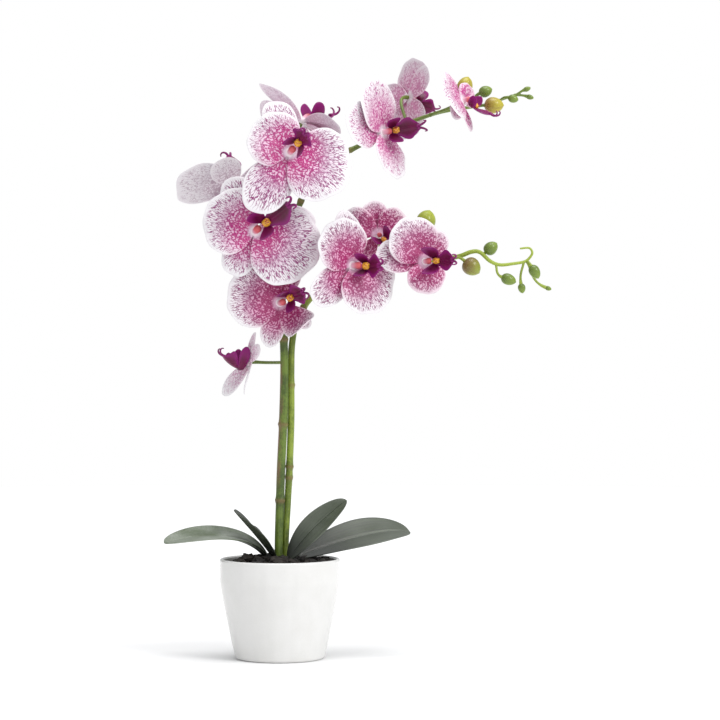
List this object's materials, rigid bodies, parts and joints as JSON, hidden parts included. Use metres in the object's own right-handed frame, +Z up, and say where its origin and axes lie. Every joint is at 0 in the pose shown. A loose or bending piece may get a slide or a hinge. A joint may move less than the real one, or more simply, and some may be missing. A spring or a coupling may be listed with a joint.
{
  "type": "potted orchid",
  "caption": "Potted moth orchid: arching spikes of pink-veined white flowers with purple lips and green buds, over dark strap leaves in a tapered white glazed pot of bark.",
  "frame": {"origin": "centre of the pot's underside, on the surface it stands on", "axes": "+Z up along the pot's axis; -Y the side most flowers look to; +X the side both spikes arch to"},
  "size_m": [0.3549, 0.1669, 0.5556],
  "materials": {
    "glaze": "glossy white glaze",
    "bark": "rough, dark and dry",
    "spike_green": "satin living stem",
    "leaf_green": "satin waxy leaf",
    "tepal": "soft matt petal, white with a magenta net",
    "lip": "waxy deep purple",
    "bud": "satin green"
  },
  "bodies": {
    "root": {"pot": "glaze", "bark": "bark", "spike_a": "spike_green", "spike_b": "spike_green", "leaf_left": "leaf_green", "leaf_edge": "leaf_green", "leaf_young": "leaf_green", "leaf_right_upright": "leaf_green", "leaf_right": "leaf_green", "flower_01_sepals": "tepal", "flower_01_petals": "tepal", "flower_01_lip": "lip", "flower_02_sepals": "tepal", "flower_02_petals": "tepal", "flower_02_lip": "lip", "flower_03_sepals": "tepal", "flower_03_petals": "tepal", "flower_03_lip": "lip", "flower_04_sepals": "tepal", "flower_04_petals": "tepal", "flower_04_lip": "lip", "flower_05_sepals": "tepal", "flower_05_petals": "tepal", "flower_05_lip": "lip", "flower_06_sepals": "tepal", "flower_06_petals": "tepal", "flower_06_lip": "lip", "flower_07_sepals": "tepal", "flower_07_petals": "tepal", "flower_07_lip": "lip", "flower_08_sepals": "tepal", "flower_08_petals": "tepal", "flower_08_lip": "lip", "flower_09_sepals": "tepal", "flower_09_petals": "tepal", "flower_09_lip": "lip", "flower_10_sepals": "tepal", "flower_10_petals": "tepal", "flower_10_lip": "lip", "flower_11_sepals": "tepal", "flower_11_petals": "tepal", "flower_11_lip": "lip", "flower_12_sepals": "tepal", "flower_12_petals": "tepal", "flower_12_lip": "lip", "bud_a1": "bud", "bud_a2": "bud", "bud_a3": "bud", "bud_a4": "bud", "bud_a5": "bud", "bud_a6": "bud", "bud_b1": "bud", "bud_b2": "bud", "bud_b3": "bud", "bud_b4": "bud", "bud_b5": "bud", "bud_b6": "bud", "bud_b7": "bud"}
  },
  "joints": []
}
